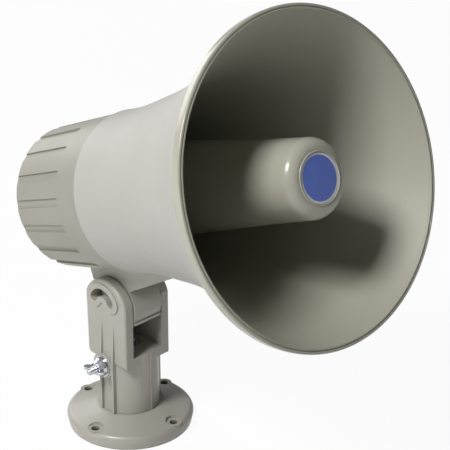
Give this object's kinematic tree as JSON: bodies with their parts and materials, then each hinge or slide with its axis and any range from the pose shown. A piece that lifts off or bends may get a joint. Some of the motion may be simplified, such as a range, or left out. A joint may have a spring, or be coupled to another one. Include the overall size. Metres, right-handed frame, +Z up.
{
  "type": "horn loudspeaker",
  "caption": "Re-entrant horn loudspeaker: round flared bell with a nose in its mouth and a fluted rear cover, on a tilting yoke that swivels on a round screw-down base.",
  "frame": {"origin": "centre of the base flange's underside", "axes": "+Z up out of the base along the swivel axis, the mouth towards -Y, the tilt axle along X"},
  "size_m": [0.2032, 0.27, 0.3269],
  "materials": {
    "bracket_abs": "moulded ABS, warm grey, satin gloss",
    "cover_abs": "moulded ABS, warm grey, satin gloss",
    "bell_abs": "moulded ABS, pale grey, gloss",
    "reflector_abs": "moulded ABS, warm grey, gloss",
    "inner_abs": "moulded ABS, black, matt",
    "disc_print": "printed disc, blue, gloss",
    "zinc_steel": "bright zinc-plated steel",
    "gasket_rubber": "black rubber",
    "selector_nylon": "black nylon",
    "phenolic_film": "phenolic impregnated cloth",
    "copper_wire": "enamelled copper wire",
    "plated_steel": "zinc-plated steel plate",
    "silicon_steel": "stacked silicon steel sheet",
    "ferrite": "sintered ferrite, dark grey"
  },
  "bodies": {
    "base": {"base_flange": "bracket_abs", "swivel_screw": "zinc_steel"},
    "yoke": {"yoke_bracket": "bracket_abs", "swivel_washer": "zinc_steel", "clamp_stud": "zinc_steel", "clamp_washer": "zinc_steel"},
    "wing_nut": {"wing_nut": "zinc_steel"},
    "tap_selector": {"tap_selector": "selector_nylon"},
    "horn": {"mount_foot": "bracket_abs", "rear_cover": "cover_abs", "bell": "bell_abs", "reflector": "reflector_abs", "nose_disc": "disc_print", "throat_tube": "inner_abs", "throat_screws": "zinc_steel", "reflector_screws": "zinc_steel", "cover_screws": "zinc_steel", "foot_screws": "zinc_steel", "driver_screws": "zinc_steel", "strap_screws": "zinc_steel", "cover_gasket": "gasket_rubber", "cable_grommet": "gasket_rubber", "tap_switch": "inner_abs", "terminal_block": "selector_nylon", "driver_plate": "inner_abs", "diaphragm": "phenolic_film", "voice_coil": "copper_wire", "top_plate": "plated_steel", "back_plate": "plated_steel", "magnet": "ferrite", "transformer_core": "silicon_steel", "transformer_winding": "copper_wire", "transformer_strap": "plated_steel"}
  },
  "joints": [
    {"name": "swivel", "type": "hinge", "parent": "base", "child": "yoke", "pos_m": [0, 0, 0.03], "axis": [0, 0, 1], "continuous": true},
    {"name": "tilt", "type": "hinge", "parent": "yoke", "child": "horn", "pos_m": [0, 0.0026, 0.0926], "axis": [-1, 0, 0], "range_deg": [-35, 50]},
    {"name": "clamp_turn", "type": "hinge", "parent": "yoke", "child": "wing_nut", "pos_m": [-0.025, 0.0025, 0.0476], "axis": [-1, 0, 0], "continuous": true},
    {"name": "tap_turn", "type": "hinge", "parent": "horn", "child": "tap_selector", "pos_m": [0, 0.05604, 0.16223], "axis": [0, 0.933, -0.36], "range_deg": [-60, 60]}
  ]
}
